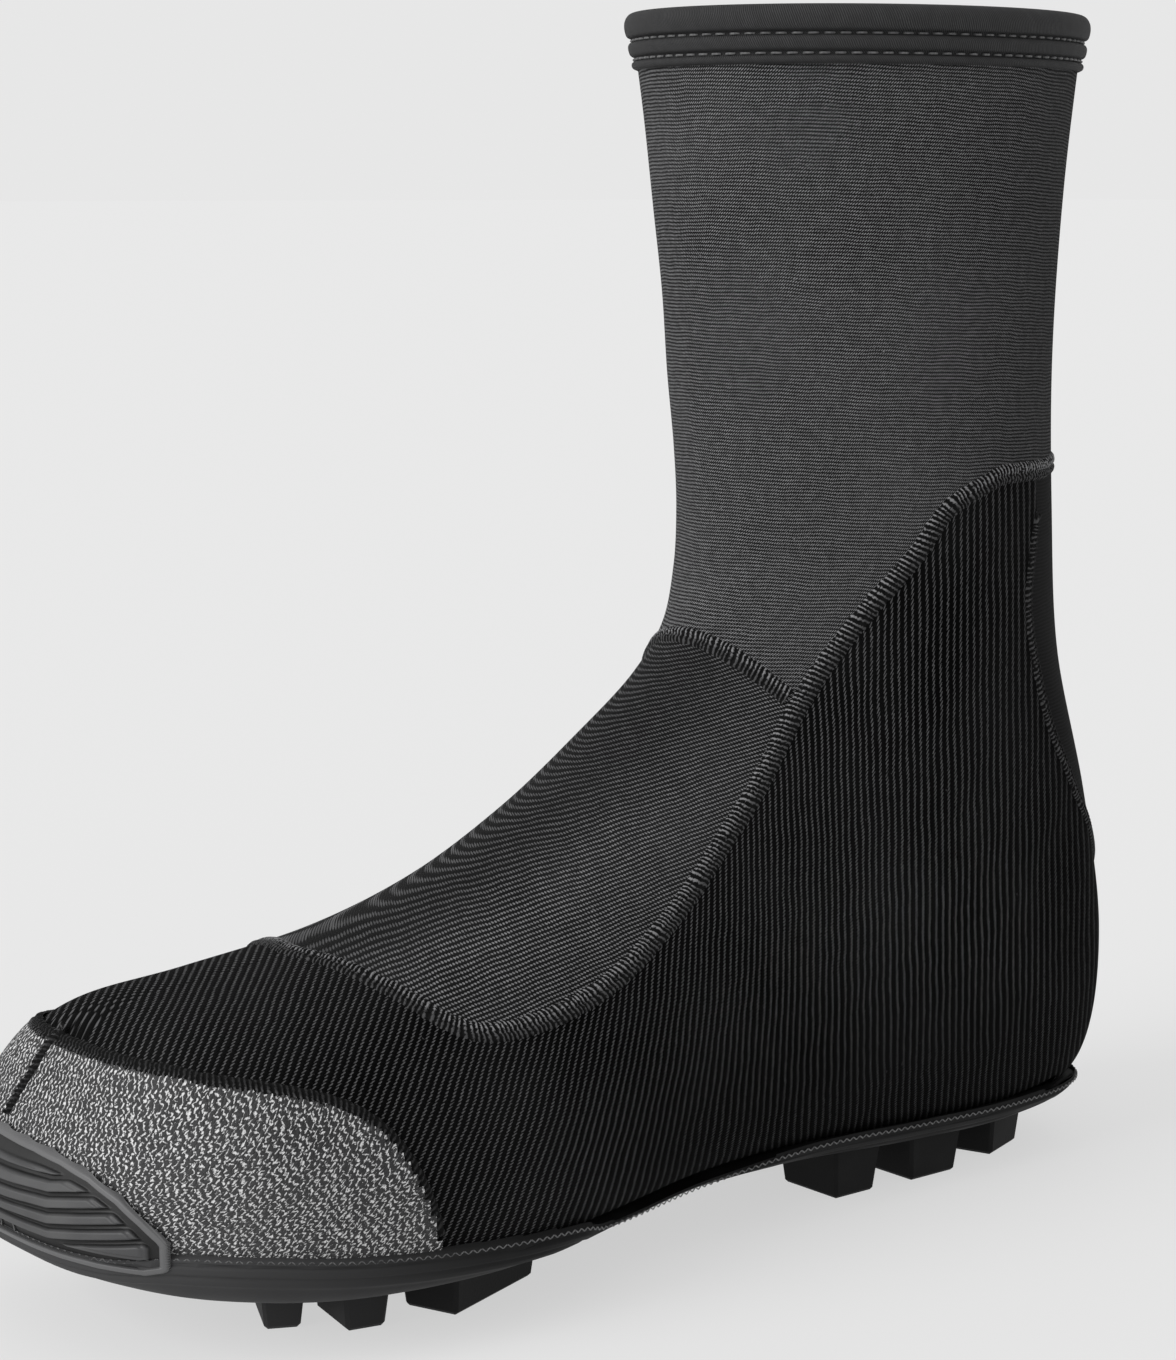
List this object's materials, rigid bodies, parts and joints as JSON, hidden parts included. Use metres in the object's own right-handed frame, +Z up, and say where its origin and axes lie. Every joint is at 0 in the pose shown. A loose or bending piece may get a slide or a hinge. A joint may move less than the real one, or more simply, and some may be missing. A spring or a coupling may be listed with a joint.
{
  "type": "cycling overshoe",
  "caption": "Ankle-high knitted overshoe with rubber toe bumper, woven toe cap, elastic top binding and a lugged rubber sole with a cleat opening, for one foot.",
  "frame": {"origin": "on the floor, under the middle of the bounding box", "axes": "+Z up, toe to -Y, heel to +Y, outer side of the left foot to +X"},
  "size_m": [0.1144, 0.3124, 0.2914],
  "materials": {
    "ribbed_knit": "matt ribbed knit over foam",
    "sole_rubber": "moulded, satin",
    "elastic_binding": "fine diagonal rib",
    "heather_weave": "coarse flecked weave",
    "bumper_rubber": "moulded, satin",
    "seam_thread": "overlock stitching"
  },
  "bodies": {
    "root": {"upper": "ribbed_knit", "outsole": "sole_rubber", "collar_binding": "elastic_binding", "toe_cap": "heather_weave", "toe_bumper": "bumper_rubber", "side_seam": "seam_thread", "instep_seam": "seam_thread", "back_seam": "seam_thread", "centre_seam": "seam_thread"}
  },
  "joints": []
}
